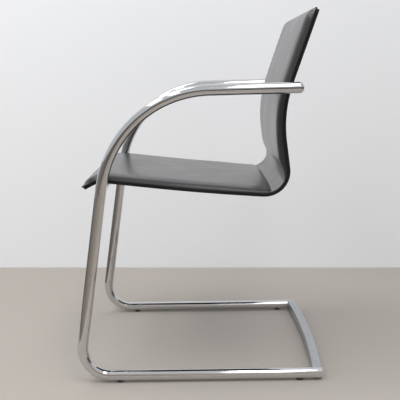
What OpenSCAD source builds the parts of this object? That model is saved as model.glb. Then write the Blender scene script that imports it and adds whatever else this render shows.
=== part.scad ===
// Cantilever armchair: two bent side tubes carry a one-piece L-shaped upholstered shell.
// X runs across the chair (the sitter's left is +X), Y to the rear, Z up.
// The origin is on the floor, in the middle of the chair's width and depth.

/* [Side tubes] */
// Outside diameter of the side tubes
tube_d = 25; // [22:0.5:30]
// Wall of the side tubes
tube_wall = 2; // [1.5:0.5:3]
// Distance between the centre lines of the two side tubes
tube_spread = 534; // [480:2:600]
// Straight length of the floor runner, up to the front bend
runner_len = 492; // [440:2:540]
// Centre line radius of the front bend at the floor
foot_bend_r = 65; // [50:1:90]
// Backward lean of the leg, in degrees from upright
leg_lean = 8.5; // [4:0.1:12]
// Straight length of the leg between the foot bend and the arm's arc
leg_len = 373; // [360:1:400]
// Centre line radius of the large arc from leg to arm
arc_r = 251; // [230:1:270]
// Rise of the arm to the rear, in degrees
arm_rise = 0.8; // [0:0.1:2]
// Straight length of the arm behind the arc, without its cap
arm_len = 198; // [186:1:230]
// How much the tube's section draws in where it is bent, on the radius
bend_draw = 0.05; // [0.02:0.01:0.1]

/* [Rear floor bar] */
// Width of the rear floor bar, front to rear
bar_w = 20; // [16:1:26]
// Height of the rear floor bar
bar_h = 24; // [18:0.5:24]
// Wall of the rear floor bar
bar_wall = 2; // [1.5:0.5:3]
// How far the middle of the bar bows to the rear of its ends
bar_bow = 11; // [6:1:25]
// Distance of the bar's outer face from the end of the runner
bar_setback = 2; // [1:0.5:6]

/* [Cross tube and welded fittings] */
// Outside diameter of the cross tube under the seat
cross_d = 20; // [16:0.5:22]
// Wall of the cross tube
cross_wall = 2; // [1.5:0.5:3]
// Distance of the cross tube below the top of the leg, along the leg
cross_drop = 6; // [0:1:20]
// Thickness of the two seat plates
plate_t = 4; // [3:0.5:5]
// Width of a seat plate
plate_w = 50; // [40:1:70]
// Length of a seat plate behind the cross tube
plate_len = 72; // [60:1:90]
// Distance of a seat plate's middle from the middle of the chair
plate_x = 150; // [100:1:180]
// Thickness of the lugs that hold the back
lug_t = 5; // [4:0.5:6]
// Height of a lug
lug_h = 22; // [18:0.5:24]
// How far a lug reaches in behind the back, from the edge of the shell
lug_reach = 54; // [44:1:70]

/* [End caps and glides] */
// Length of the arm's end cap that shows
cap_head = 10.6; // [10.4:0.2:14]
// Rounding of the arm's end cap
cap_round = 10; // [4:0.2:10.2]
// Length of the cap's plug inside the tube
cap_plug = 14; // [8:1:20]
// Thickness of the disc that closes the runner's rear end
disc_t = 2; // [1.5:0.5:3]
// Height of the frame above the floor
glide_h = 3; // [2:0.5:5]
// Diameter of a glide
glide_d = 16; // [12:0.5:20]
// Distance of the front glides behind the foot bend
glide_front = 20; // [10:1:60]
// Distance of the rear glides from the runner's end
glide_rear = 53; // [30:1:80]

/* [Shell] */
// Clearance between the shell's edge and the side tube
side_gap = 11.5; // [8:0.5:20]
// Clearance between the cross tube and the underside of the shell
seat_gap = 2.7; // [2.2:0.1:4]
// Thickness of the moulded plywood core
core_t = 7; // [6:0.5:9]
// Thickness of the leather
leather_t = 1.5; // [1.2:0.1:2]
// Width of the sewn flange that stands out all round the edge
flange_w = 3; // [2:0.5:5]
// Straight length of the drooping front lip
lip_len = 24.5; // [18:0.5:30]
// Droop of the front lip, in degrees
lip_droop = 27; // [20:1:34]
// Radius of the bend behind the front lip
lip_r = 32; // [28:1:50]
// Slope of the front half of the seat down to the rear, in degrees
seat_slope = 6.7; // [4:0.1:9]
// Straight length of the front half of the seat
seat_flat = 110; // [100:1:130]
// Length of the slightly hollow rear half of the seat
seat_hollow = 257.5; // [230:0.5:280]
// Angle through which the rear half of the seat turns up
hollow_turn = 2.9; // [2:0.1:5]
// Outside radius of the bend between seat and back
shell_bend_r = 57.5; // [50:0.5:70]
// Straight length of the lower back
low_back = 61; // [50:1:80]
// Radius of the lumbar curve
lumbar_r = 285; // [240:5:340]
// Angle through which the lumbar curve turns back
lumbar_turn = 26.8; // [20:0.1:32]
// Straight length of the upper back
high_back = 166; // [140:1:190]
// Backward lean of the upper back, in degrees
back_lean = 19.5; // [14:0.5:26]

/* [Padding] */
// Thickness of the seat foam at its rolled edge
seat_foam_t = 10; // [5:0.5:16]
// Thickness of the back foam at its rolled edge
back_foam_t = 12.5; // [6:0.5:18]
// Extra thickness in the middle of a pad
crown = 2.5; // [1:0.5:6]
// Width of the roll along the sides
side_roll = 18; // [12:1:26]
// Length of the roll over the front lip
front_roll = 32; // [20:1:40]
// Length of the roll at the rear of the seat pad
seat_end_roll = 21; // [14:1:30]
// Length over which the back pad thins out at its foot
back_foot_roll = 38; // [28:1:50]
// Length of the roll at the top of the back
top_roll = 26; // [18:1:40]

/* [Fasteners] */
// Thickness of the rubber pads under the fittings
pad_t = 1.5; // [1:0.1:2]
// Gap left between a rubber pad and the leather of the back
pad_gap = 0.4; // [0.3:0.1:0.6]
// Thread diameter of the bolts
bolt_d = 6; // [5:0.5:8]
// Distance between the two bolts of a seat plate
plate_pitch = 36; // [26:1:44]
// Distance between the two bolts of a lug
lug_pitch = 26; // [20:1:34]

/* [Hidden] */
$fn = 64;
LEFT = 1;
RIGHT = -1;

// Overrun of every cut past the face that it opens
cut = 1;
// Running clearance of a peg, plug or barrel in its hole, on the radius
fit = 0.1;

// Side tube, worked out
tube_r = tube_d / 2;
bore_r = tube_r - tube_wall;
// How far a bend and the straight stretches beside it reach into each other
bend_lap = tube_d / 25;
tube_x = tube_spread / 2;
runner_z = glide_h + tube_r;
foot_turn = 90 + leg_lean;
arc_turn = 90 - leg_lean - arm_rise;
depth = foot_bend_r + tube_r + runner_len + bar_bow - bar_setback;
foot_y = -depth / 2 + tube_r + foot_bend_r;
runner_end = foot_y + runner_len;
// The tube's centre line: start, heading, then [length, turn] of each stretch
tube_start = [runner_end - disc_t, runner_z];
tube_heading = 180;
tube_path = [[runner_len - disc_t, 0], [arc_length(foot_bend_r, foot_turn), -foot_turn],
             [leg_len, 0], [arc_length(arc_r, arc_turn), -arc_turn], [arm_len, 0]];
arm_end = point_at(tube_start, tube_heading, tube_path, path_length(tube_path));
leg_top = point_at(tube_start, tube_heading, tube_path, path_length([for (i = [0:2]) tube_path[i]]));

// Cross tube, worked out
cross_r = cross_d / 2;
leg_heading = 90 - leg_lean;
cross_c = leg_top - cross_drop * unit(leg_heading);

// Rear floor bar, worked out: an arc through the two runner ends
bar_end = runner_end - bar_setback;
bar_outer_r = (tube_x * tube_x + bar_bow * bar_bow) / (2 * bar_bow);
bar_centre_y = bar_end + bar_bow - bar_outer_r;
bar_half_angle = asin(tube_x / bar_outer_r);

// Shell, worked out. The path is the line of the underside and of the rear face.
shell_hw = tube_x - tube_r - side_gap;
core_hw = shell_hw - leather_t;
flange_hw = shell_hw + flange_w;
edge_out = leather_t + flange_w;
core_front = leather_t + core_t;
lip_turn = lip_droop + seat_slope;
bend_turn = 90 - back_lean + lumbar_turn + seat_slope - hollow_turn;
shell_path = [[lip_len, 0], [arc_length(lip_r, lip_turn), -lip_turn], [seat_flat, 0],
              [seat_hollow, hollow_turn], [arc_length(shell_bend_r, bend_turn), bend_turn],
              [low_back, 0], [arc_length(lumbar_r, lumbar_turn), -lumbar_turn], [high_back, 0]];
shell_len = path_length(shell_path);
// The flat of the seat starts right over the cross tube, which sets where the shell lies
flat_start = path_length([for (i = [0:1]) shell_path[i]]);
flat_end = flat_start + seat_flat;
bend_start = flat_end + seat_hollow;
bend_end = bend_start + shell_path[4][0];
lumbar_start = bend_end + low_back;
lumbar_end = lumbar_start + shell_path[6][0];
shell_start = cross_c + (cross_r + seat_gap) * normal(-seat_slope)
            - point_at([0, 0], lip_droop, shell_path, flat_start);

// Pads: the seat pad ends a little way up the bend, the back pad starts just before the bend's end
seat_end_share = 0.4;
seat_pad_end = bend_start + shell_bend_r * seat_end_share;
back_foot_share = 0.2;
back_pad_start = bend_end - back_foot_roll * back_foot_share;
pad_hw = core_hw - fit;
pad_face_hw = pad_hw - side_roll;

// Stations along the shell, shared by the core, the foams and both covers so that they lie face to face
roll_steps = 4;
stations = concat(
    roll_on(0, front_roll, roll_steps),
    spaced(front_roll, flat_start, 3),
    spaced(flat_start, flat_end, 1),
    spaced(flat_end, seat_pad_end - seat_end_roll, 3),
    roll_off(seat_pad_end - seat_end_roll, seat_pad_end, roll_steps),
    spaced(seat_pad_end, back_pad_start, 8),
    spaced(back_pad_start, back_pad_start + back_foot_roll, roll_steps),
    spaced(back_pad_start + back_foot_roll, lumbar_start, 1),
    spaced(lumbar_start, lumbar_end, 5),
    spaced(lumbar_end, shell_len - top_roll, 1),
    roll_off(shell_len - top_roll, shell_len, roll_steps),
    [shell_len]);
seat_stations = [for (s = stations) if (s <= seat_pad_end) s];
back_stations = [for (s = stations) if (s >= back_pad_start) s];
// Lines across a pad: the foot of the roll, the roll, the flat face and its middle
half_lines = concat([for (i = [0:roll_steps - 1]) pad_hw - side_roll * (1 - cos(90 * i / roll_steps))],
                    [pad_face_hw, pad_face_hw / 2]);
pad_lines = concat([for (x = half_lines) -x], [0], [for (i = [len(half_lines) - 1:-1:0]) half_lines[i]]);
cover_lines = concat([-flange_hw], pad_lines, [flange_hw]);

// Fasteners, worked out
bolt_r = bolt_d / 2;
bolt_hole_r = bolt_r + 4 * fit;
head_r = bolt_d * 0.88;
head_h = bolt_d * 0.55;
socket_r = bolt_d * 0.38;
socket_depth = head_h * 0.6;
washer_r = bolt_d;
washer_t = bolt_d / 6;
insert_r = bolt_r + 1.15 * washer_t;
insert_flange_r = bolt_d * 1.33;
insert_flange_t = 1.2 * washer_t;
// How far an insert lies below the wood's faces
insert_sink = washer_t / 2;
insert_top = core_front - insert_sink;
leather_hole_r = insert_r + 2 * fit;
lug_height = arm_end.y;
lug_s = lookup(lug_height, [for (s = back_stations) [shell_point(s).y, s]]);
plate_edge = 2.5 * bolt_d;
plate_holes = [for (i = [0, 1]) plate_len - plate_pitch * (1 - i) - plate_edge];
plate_start = cross_r * 0.4;
lug_edge = 1.8 * bolt_d;
lug_holes = [for (i = [0, 1]) shell_hw - lug_reach + lug_edge + lug_pitch * i];
corner_r = 1.2 * bolt_d;
peg_r = glide_d * 0.19;
glide_saddle = glide_h + tube_r - sqrt(tube_r * tube_r - glide_d * glide_d / 4);
seat_bearing = pad_t + plate_t + washer_t;
back_bearing = pad_gap + pad_t + lug_t + washer_t;

// Length of an arc
function arc_length(r, angle) = PI * r * angle / 180;
// Unit vectors along and square to a heading
function unit(a) = [cos(a), sin(a)];
function normal(a) = [-sin(a), cos(a)];
// Length of a path
function path_length(path, i = 0) = i >= len(path) ? 0 : path[i][0] + path_length(path, i + 1);
// Point reached at a distance along one stretch, straight or curved
function stretch_point(p, a, stretch, d) = stretch[1] == 0
    ? p + d * unit(a)
    : p + stretch[0] * 180 / (PI * stretch[1]) * (normal(a) - normal(a + stretch[1] * d / stretch[0]));
// Point and heading at a distance along a path; past its ends the path runs on straight
function point_at(p, a, path, d, i = 0) = d <= path[i][0] || i == len(path) - 1
    ? stretch_point(p, a, path[i], d)
    : point_at(stretch_point(p, a, path[i], path[i][0]), a + path[i][1], path, d - path[i][0], i + 1);
function heading_at(a, path, d, i = 0) = d <= path[i][0] || i == len(path) - 1
    ? a + path[i][1] * d / path[i][0]
    : heading_at(a + path[i][1], path, d - path[i][0], i + 1);
function shell_point(s) = point_at(shell_start, lip_droop, shell_path, s);
function shell_heading(s) = heading_at(lip_droop, shell_path, s);
// Point at a height above the underside, square to the path
function above(s, h) = shell_point(s) + h * normal(shell_heading(s));

// Evenly spaced stations, and stations spaced evenly round a quarter ellipse
function spaced(a, b, n) = [for (i = [0:n - 1]) a + (b - a) * i / n];
function roll_on(a, b, n) = [for (i = [0:n - 1]) a + (b - a) * (1 - cos(90 * i / n))];
function roll_off(a, b, n) = [for (i = [0:n - 1]) a + (b - a) * sin(90 * i / n)];
// Height of a quarter round at a share of its width
function quarter(t) = t <= 0 ? 0 : t >= 1 ? 1 : sqrt(1 - (1 - t) * (1 - t));
// Height of a soft ramp at a share of its length
function ramp(t) = t <= 0 ? 0 : t >= 1 ? 1 : sin(90 * t);

// Foam height over the core at station s and distance x from the middle
function across(x) = quarter((pad_hw - abs(x)) / side_roll);
function swell(x) = max(0, 1 - x * x / (pad_face_hw * pad_face_hw));
function seat_end(s) = quarter(s / front_roll) * quarter((seat_pad_end - s) / seat_end_roll);
function back_end(s) = ramp((s - back_pad_start) / back_foot_roll) * quarter((shell_len - s) / top_roll);
function foam(s, x) = s <= seat_pad_end
    ? seat_end(s) * (seat_foam_t * across(x) + crown * swell(x))
    : back_end(s) * (back_foam_t * across(x) + crown * swell(x));

// Shapes drawn in the chair's side plane, X to the rear and Y up, then turned upright
module in_side_plane(x = 0) {
    translate([x, 0, 0]) rotate([90, 0, 90]) children();
}

// A bent rod from the origin along +X, stretch after stretch, each [length, turn].
// The straight stretches taper into the bends, where the section is drawn in.
module bent_rod(path, r, i = 0) {
    if (path[i][1] == 0) {
        rotate([0, 90, 0]) cylinder(r = r, h = path[i][0]);
        if (i > 0) rotate([0, -90, 0]) taper(r);
        if (i < len(path) - 1) translate([path[i][0], 0, 0]) {
            rotate([0, 90, 0]) taper(r);
            bent_rod(path, r, i + 1);
        }
    } else {
        turn = path[i][1];
        bend = path[i][0] * 180 / (PI * turn);
        lap = bend_lap / path[i][0] * turn;
        translate([0, bend, 0]) {
            rotate([0, 0, -90 - lap]) rotate_extrude(angle = turn + 2 * lap)
                translate([bend, 0]) circle(r - bend_draw);
            if (i < len(path) - 1) rotate([0, 0, turn]) translate([0, -bend, 0]) bent_rod(path, r, i + 1);
        }
    }
}
module taper(r) {
    cylinder(r1 = r, r2 = r - 2 * bend_draw, h = bend_lap);
}

// The side tube's line as a solid rod, run out past both ends
module tube_rod(r, run_out) {
    last = len(tube_path) - 1;
    path = [for (i = [0:last]) [tube_path[i][0] + (i == 0 || i == last ? run_out : 0), tube_path[i][1]]];
    on_line(tube_start - run_out * unit(tube_heading), tube_heading) bent_rod(path, r);
}
module on_line(p, a) {
    translate([p.x, p.y, 0]) rotate([0, 0, a]) children();
}

module ring(r, bore, h) {
    difference() {
        cylinder(r = r, h = h);
        translate([0, 0, -cut]) cylinder(r = bore, h = h + 2 * cut);
    }
}

// A disc with a rounded outer edge, its flat face down
module rounded_disc(r, h, round_r) {
    rotate_extrude() {
        square([r - round_r, h]);
        square([r, h - round_r]);
        translate([r - round_r, h - round_r]) intersection() {
            circle(round_r);
            square(round_r);
        }
    }
}

// A flat plate from y = from to y = to, with its far corners rounded
module plate_outline(w, from, to) {
    translate([-w / 2, from]) square([w, to - corner_r - from]);
    translate([-w / 2 + corner_r, from]) square([w - 2 * corner_r, to - from]);
    for (x = [-1, 1]) translate([x * (w / 2 - corner_r), to - corner_r]) circle(corner_r);
}

// Places a child on the shell at station s: X across, Y along the path, Z towards the sitter
module on_shell(s, x = 0) {
    p = shell_point(s);
    translate([x, p.x, p.y]) rotate([shell_heading(s), 0, 0]) children();
}

// A layer of the shell between two heights, run out past both ends of the path
module layer(low, high, hw, run_out) {
    rows = concat([-run_out], [for (s = stations) if (s > 0 && s < shell_len) s], [shell_len + run_out]);
    outline = concat([for (s = rows) above(s, low)],
                     [for (i = [len(rows) - 1:-1:0]) above(rows[i], high)]);
    in_side_plane() linear_extrude(height = 2 * hw, center = true) polygon(outline);
}

// A point of the side plane, set across at x
function spot(p, x) = [x, p.x, p.y];
// Vertex number of row i and line j; the lower sheet follows the upper one
function upper(i, j, m) = i * m + j;

// A pad: foam between the core's face and its crowned top, closed along its rim
module pad(rows) {
    n = len(rows);
    m = len(pad_lines);
    tops = [for (s = rows) for (x = pad_lines) spot(above(s, core_front + foam(s, x)), x)];
    bases = [for (i = [1:n - 2]) for (j = [1:m - 2]) spot(above(rows[i], core_front), pad_lines[j])];
    faces = [for (i = [0:n - 2]) for (j = [0:m - 2])
        let (turned = (i < n / 2 - 1) != (j < m / 2 - 1))
        each concat(
            split(turned, upper(i, j, m), upper(i, j + 1, m), upper(i + 1, j + 1, m), upper(i + 1, j, m)),
            split(turned, base(i, j, n, m), base(i + 1, j, n, m), base(i + 1, j + 1, n, m), base(i, j + 1, n, m)))];
    polyhedron(points = concat(tops, bases), faces = faces);
}
function base(i, j, n, m) = i == 0 || i == n - 1 || j == 0 || j == m - 1
    ? upper(i, j, m)
    : n * m + (i - 1) * (m - 2) + j - 1;
// Two triangles, and the same split from corner to corner so that each diagonal leaves the nearest rim corner
function quad(a, b, c, d) = [[a, c, b], [a, d, c]];
function split(turned, a, b, c, d) = turned ? quad(b, c, d, a) : quad(a, b, c, d);

// The sheet of leather over both pads, with the flange round its rim
module cover_sheet() {
    rows = concat([-edge_out], stations, [shell_len + edge_out]);
    n = len(rows);
    m = len(cover_lines);
    k = n * m;
    tops = [for (s = rows) for (x = cover_lines) spot(above(s, core_front + leather_t + foam(s, x)), x)];
    undersides = [for (s = rows) for (x = cover_lines) spot(above(s, core_front + foam(s, x)), x)];
    sheets = [for (i = [0:n - 2]) for (j = [0:m - 2])
        let (a = upper(i, j, m), b = upper(i + 1, j, m))
        each concat(quad(a, a + 1, b + 1, b), quad(k + a, k + b, k + b + 1, k + a + 1))];
    ends = [for (j = [0:m - 2])
        let (a = upper(0, j, m), b = upper(n - 1, j, m))
        each concat(quad(a + 1, a, k + a, k + a + 1), quad(b, b + 1, k + b + 1, k + b))];
    sides = [for (i = [0:n - 2])
        let (a = upper(i, 0, m), b = upper(i + 1, 0, m), c = a + m - 1, d = b + m - 1)
        each concat(quad(a, b, k + b, k + a), quad(d, c, k + c, k + d))];
    polyhedron(points = concat(tops, undersides), faces = concat(sheets, ends, sides));
}

// Places a child at every seat bolt and at every back bolt
module at_seat_bolts() {
    for (side = [LEFT, RIGHT], y = plate_holes)
        on_shell(flat_start, side * plate_x) translate([0, y, 0]) children();
}
module at_back_bolts() {
    for (side = [LEFT, RIGHT], x = lug_holes) on_shell(lug_s, side * x) children();
}

// Parts of the frame
module side_tube(side) {
    color("silver") difference() {
        in_side_plane(side * tube_x) tube_rod(tube_r, 0);
        in_side_plane(side * tube_x) tube_rod(bore_r, cut);
        for (y = [foot_y + glide_front, runner_end - glide_rear])
            translate([side * tube_x, y, glide_h - cut]) cylinder(r = peg_r + fit, h = tube_wall + 2 * cut);
    }
}

module rear_floor_bar() {
    color("lightsteelblue") difference() {
        translate([0, bar_centre_y, runner_z]) rotate([0, 0, 90 - bar_half_angle])
            rotate_extrude(angle = 2 * bar_half_angle) translate([bar_outer_r - bar_w / 2, 0]) difference() {
                square([bar_w, bar_h], center = true);
                square([bar_w - 2 * bar_wall, bar_h - 2 * bar_wall], center = true);
            }
        for (side = [LEFT, RIGHT]) translate([side * tube_x, runner_end + cut, runner_z])
            rotate([90, 0, 0]) cylinder(r = tube_r, h = glide_rear);
    }
}

module seat_cross_tube() {
    color("silver") difference() {
        translate([-tube_x, cross_c.x, cross_c.y]) rotate([0, 90, 0])
            ring(cross_r, cross_r - cross_wall, 2 * tube_x);
        for (side = [LEFT, RIGHT]) in_side_plane(side * tube_x) leg_and_arc();
    }
}

// The leg and the arc as a solid rod, to shape what is welded to them
module leg_and_arc() {
    foot = leg_top - leg_len * unit(leg_heading);
    on_line(foot, leg_heading) bent_rod([tube_path[2], tube_path[3]], tube_r);
}

module seat_plate(side) {
    color("gainsboro") difference() {
        on_shell(flat_start, side * plate_x) difference() {
            translate([0, 0, -pad_t - plate_t]) linear_extrude(height = plate_t)
                plate_outline(plate_w, plate_start, plate_len);
            for (y = plate_holes) translate([0, y, -pad_t - plate_t - cut])
                cylinder(r = bolt_hole_r, h = plate_t + 2 * cut);
        }
        translate([side * plate_x - plate_w, cross_c.x, cross_c.y]) rotate([0, 90, 0])
            cylinder(r = cross_r, h = 2 * plate_w);
    }
}

module arm_lug(side) {
    color("gainsboro") difference() {
        on_shell(lug_s) difference() {
            translate([0, 0, -pad_gap - pad_t - lug_t]) linear_extrude(height = lug_t)
                rotate([0, 0, side * 90]) plate_outline(lug_h, -tube_x, lug_reach - shell_hw);
            for (x = lug_holes) translate([side * x, 0, -pad_gap - pad_t - lug_t - cut])
                cylinder(r = bolt_hole_r, h = lug_t + 2 * cut);
        }
        in_side_plane(side * tube_x) on_line(arm_end - arm_len * unit(arm_rise), arm_rise)
            bent_rod([[arm_len, 0]], tube_r);
    }
}

module arm_end_cap(side) {
    color("silver") translate([side * tube_x, arm_end.x, arm_end.y]) rotate([arm_rise - 90, 0, 0]) {
        rounded_disc(tube_r, cap_head, cap_round);
        translate([0, 0, -cap_plug]) cylinder(r = bore_r - fit, h = cap_plug);
    }
}

module runner_end_disc(side) {
    color("silver") translate([side * tube_x, runner_end, runner_z]) rotate([90, 0, 0])
        cylinder(r = tube_r, h = disc_t);
}

// Glide: a foot shaped to the tube, with a peg in the tube's hole
module glide(side, y) {
    color("dimgray") translate([side * tube_x, y, 0]) {
        difference() {
            translate([0, 0, glide_saddle]) mirror([0, 0, 1])
                rounded_disc(glide_d / 2, glide_saddle, glide_h / 4);
            translate([0, glide_d, runner_z]) rotate([90, 0, 0]) cylinder(r = tube_r + fit, h = 2 * glide_d);
        }
        translate([0, 0, glide_h / 2]) cylinder(r = peg_r, h = glide_h / 2 + tube_wall * 2);
    }
}

// Parts of the shell
module shell_core() {
    color("burlywood") difference() {
        layer(leather_t, core_front, core_hw, 0);
        at_seat_bolts() insert_hole();
        at_back_bolts() insert_hole();
    }
}

module insert_hole() {
    translate([0, 0, -cut]) cylinder(r = insert_r + fit, h = core_front + 2 * cut);
    translate([0, 0, insert_top - insert_flange_t])
        cylinder(r = insert_flange_r + fit, h = insert_flange_t + insert_sink + cut);
}

module insert() {
    difference() {
        union() {
            translate([0, 0, leather_t + insert_sink]) cylinder(r = insert_r, h = core_t - 2 * insert_sink);
            translate([0, 0, insert_top - insert_flange_t]) cylinder(r = insert_flange_r, h = insert_flange_t);
        }
        cylinder(r = bolt_r, h = core_front + cut);
    }
}

module seat_foam() {
    color("khaki") pad(seat_stations);
}

module back_foam() {
    color("khaki") pad(back_stations);
}

module front_cover() {
    color([0.13, 0.13, 0.14]) cover_sheet();
}

module rear_cover() {
    color([0.09, 0.09, 0.1]) difference() {
        union() {
            layer(0, core_front, shell_hw, leather_t);
            layer(core_front - leather_t, core_front, flange_hw, edge_out);
        }
        layer(leather_t, core_front + cut, core_hw, 0);
        at_seat_bolts() translate([0, 0, -cut]) cylinder(r = leather_hole_r, h = leather_t + 2 * cut);
        at_back_bolts() translate([0, 0, -cut]) cylinder(r = leather_hole_r, h = leather_t + 2 * cut);
    }
}

// Rubber pads between the welded fittings and the leather
module seat_pad(side) {
    color("black") on_shell(flat_start, side * plate_x) translate([0, 0, -pad_t])
        linear_extrude(height = pad_t) difference() {
            plate_outline(plate_w, cross_r, plate_len);
            for (y = plate_holes) translate([0, y]) circle(bolt_hole_r);
        }
}

module back_pad(side) {
    color("black") on_shell(lug_s) translate([0, 0, -pad_gap - pad_t]) linear_extrude(height = pad_t)
        difference() {
            rotate([0, 0, side * 90]) plate_outline(lug_h, 2 * leather_t - shell_hw, lug_reach - shell_hw);
            for (x = lug_holes) translate([side * x, 0]) circle(bolt_hole_r);
        }
}

// A button-head bolt whose head bears at height bearing below the underside
module bolt(bearing) {
    difference() {
        translate([0, 0, -bearing]) mirror([0, 0, 1]) rounded_disc(head_r, head_h, head_h * 0.6);
        translate([0, 0, -bearing - head_h - cut]) cylinder(r = socket_r, h = socket_depth + cut, $fn = 6);
    }
    translate([0, 0, -bearing]) cylinder(r = bolt_r - fit / 2, h = bearing + core_front - leather_t);
}

module washer(bearing) {
    translate([0, 0, -bearing]) ring(washer_r, bolt_hole_r, washer_t);
}

module seat_inserts() {
    color("darkgray") at_seat_bolts() insert();
}

module back_inserts() {
    color("darkgray") at_back_bolts() insert();
}

module seat_bolts() {
    color("gray") at_seat_bolts() bolt(seat_bearing);
}

module back_bolts() {
    color("gray") at_back_bolts() bolt(back_bearing);
}

module seat_washers() {
    color("lightgray") at_seat_bolts() washer(seat_bearing);
}

module back_washers() {
    color("lightgray") at_back_bolts() washer(back_bearing);
}

side_tube(LEFT);  // side_tube_left
side_tube(RIGHT);  // side_tube_right
rear_floor_bar();
seat_cross_tube();
seat_plate(LEFT);  // seat_plate_left
seat_plate(RIGHT);  // seat_plate_right
arm_lug(LEFT);  // arm_lug_left
arm_lug(RIGHT);  // arm_lug_right
arm_end_cap(LEFT);  // arm_end_cap_left
arm_end_cap(RIGHT);  // arm_end_cap_right
runner_end_disc(LEFT);  // runner_end_disc_left
runner_end_disc(RIGHT);  // runner_end_disc_right
glide(LEFT, foot_y + glide_front);  // glide_front_left
glide(RIGHT, foot_y + glide_front);  // glide_front_right
glide(LEFT, runner_end - glide_rear);  // glide_rear_left
glide(RIGHT, runner_end - glide_rear);  // glide_rear_right
shell_core();
seat_foam();
back_foam();
front_cover();
rear_cover();
seat_pad(LEFT);  // seat_pad_left
seat_pad(RIGHT);  // seat_pad_right
back_pad(LEFT);  // back_pad_left
back_pad(RIGHT);  // back_pad_right
seat_inserts();
seat_bolts();
seat_washers();
back_inserts();
back_bolts();
back_washers();
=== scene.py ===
# %% [markdown]
# # Dressing a cantilever armchair
# The measured model is already right in size and place: two bent side tubes, a floor bar, a
# cross tube and an L-shaped moulded shell. This script puts the looks on it. The metal parts
# keep their shape and get a finish, and the upholstery gets new pieces with padding, a sewn
# edge and stitches. Nothing here moves or resizes the measured parts.

# %% Load the measured model
import math

import bmesh
import bpy
from mathutils import Matrix, Vector


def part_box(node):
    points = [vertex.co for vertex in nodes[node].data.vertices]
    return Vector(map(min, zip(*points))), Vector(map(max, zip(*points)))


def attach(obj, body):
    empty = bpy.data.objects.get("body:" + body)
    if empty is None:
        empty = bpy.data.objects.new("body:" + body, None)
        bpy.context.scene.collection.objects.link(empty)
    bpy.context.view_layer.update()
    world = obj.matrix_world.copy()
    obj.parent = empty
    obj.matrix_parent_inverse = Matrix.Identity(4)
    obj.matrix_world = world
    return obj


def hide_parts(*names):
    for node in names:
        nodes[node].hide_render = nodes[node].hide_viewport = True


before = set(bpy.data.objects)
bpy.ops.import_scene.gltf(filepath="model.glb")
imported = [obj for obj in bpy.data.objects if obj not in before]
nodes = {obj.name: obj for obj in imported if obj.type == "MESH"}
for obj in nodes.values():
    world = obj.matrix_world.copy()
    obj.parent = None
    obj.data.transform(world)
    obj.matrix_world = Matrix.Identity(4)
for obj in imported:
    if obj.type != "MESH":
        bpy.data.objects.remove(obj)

scene = bpy.context.scene
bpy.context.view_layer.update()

# %% [markdown]
# ## The camera
# The chair is seen from its left side, a little from above, with a longish lens. The camera is
# set by three directions instead of angles, because they can be checked one by one: where it
# looks, what is to its right, and what is up for it.

# %% Camera
camera_data = bpy.data.cameras.new("side_camera")
camera_data.lens = 69.75
camera_data.sensor_width = 36
camera = bpy.data.objects.new("side_camera", camera_data)
scene.collection.objects.link(camera)
looks = Vector((-0.98574, 0, -0.16830))
to_right = Vector((0.00229, 0.99991, -0.01341))
upward = to_right.cross(looks)
turned = Matrix((to_right, upward, -looks)).transposed().to_4x4()
camera.matrix_world = Matrix.Translation((1.9838, 0.0003, 0.7215)) @ turned
scene.camera = camera
print("camera looks", [round(c, 3) for c in looks])

# %% [markdown]
# ## Node helpers
# A finish is a small tree of nodes. Small helpers keep the cells short: they add a node and set
# its sockets, calculate, mix two colours, or wire the shader. A group is built once and used by
# several finishes, and it only gives out masks, tones and heights. The shader itself stays in
# each material.

# %% Helpers for node trees
def add(tree, kind, links=None, values=None, **settings):
    """Adds a node, sets its properties and sockets, and wires the sockets named in links."""
    node = tree.nodes.new("ShaderNode" + kind)
    for name, value in settings.items():
        setattr(node, name, value)
    for name, value in (values or {}).items():
        node.inputs[name].default_value = value
    for name, source in (links or {}).items():
        tree.links.new(source, node.inputs[name])
    return node


def start_group(name, inputs, outputs):
    """A node group with named number inputs and outputs; a Vector input carries the position."""
    tree = bpy.data.node_groups.new(name, "ShaderNodeTree")
    tree.interface.new_socket(name="Vector", in_out="INPUT", socket_type="NodeSocketVector")
    for socket, value in inputs.items():
        made = tree.interface.new_socket(name=socket, in_out="INPUT", socket_type="NodeSocketFloat")
        made.default_value = value
    for socket in outputs:
        tree.interface.new_socket(name=socket, in_out="OUTPUT", socket_type="NodeSocketFloat")
    return tree, tree.nodes.new("NodeGroupInput"), tree.nodes.new("NodeGroupOutput")


def maths(tree, operation, first, second, clamp=False):
    """A Math node on two values, each a number or an output socket."""
    node = add(tree, "Math", operation=operation, use_clamp=clamp)
    for place, value in enumerate((first, second)):
        if isinstance(value, (int, float)):
            node.inputs[place].default_value = value
        else:
            tree.links.new(value, node.inputs[place])
    return node.outputs[0]


def between(tree, value, low, high, to_low, to_high):
    """Stretches a value from one range to another and keeps it there."""
    node = add(tree, "MapRange", {"Value": value},
               {"From Min": low, "From Max": high, "To Min": to_low, "To Max": to_high})
    return node.outputs[0]


def tone(tree, mask, dark, light):
    """A colour between two colours, by a mask."""
    node = add(tree, "Mix", data_type="RGBA")
    node.inputs["A"].default_value = (*dark, 1)
    node.inputs["B"].default_value = (*light, 1)
    tree.links.new(mask, node.inputs["Factor"])
    return node.outputs["Result"]


def finish(name):
    """A new material with its tree, its shader and its position output."""
    material = bpy.data.materials.new(name)
    material.use_nodes = True
    tree = material.node_tree
    shader = tree.nodes["Principled BSDF"]
    place = add(tree, "TexCoord").outputs["Object"]
    return material, tree, shader, place


def use(tree, group, place, **values):
    """Places a group in a material with its own values."""
    node = tree.nodes.new("ShaderNodeGroup")
    node.node_tree = group
    tree.links.new(place, node.inputs["Vector"])
    for socket, value in values.items():
        node.inputs[socket].default_value = value
    return node.outputs


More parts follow.
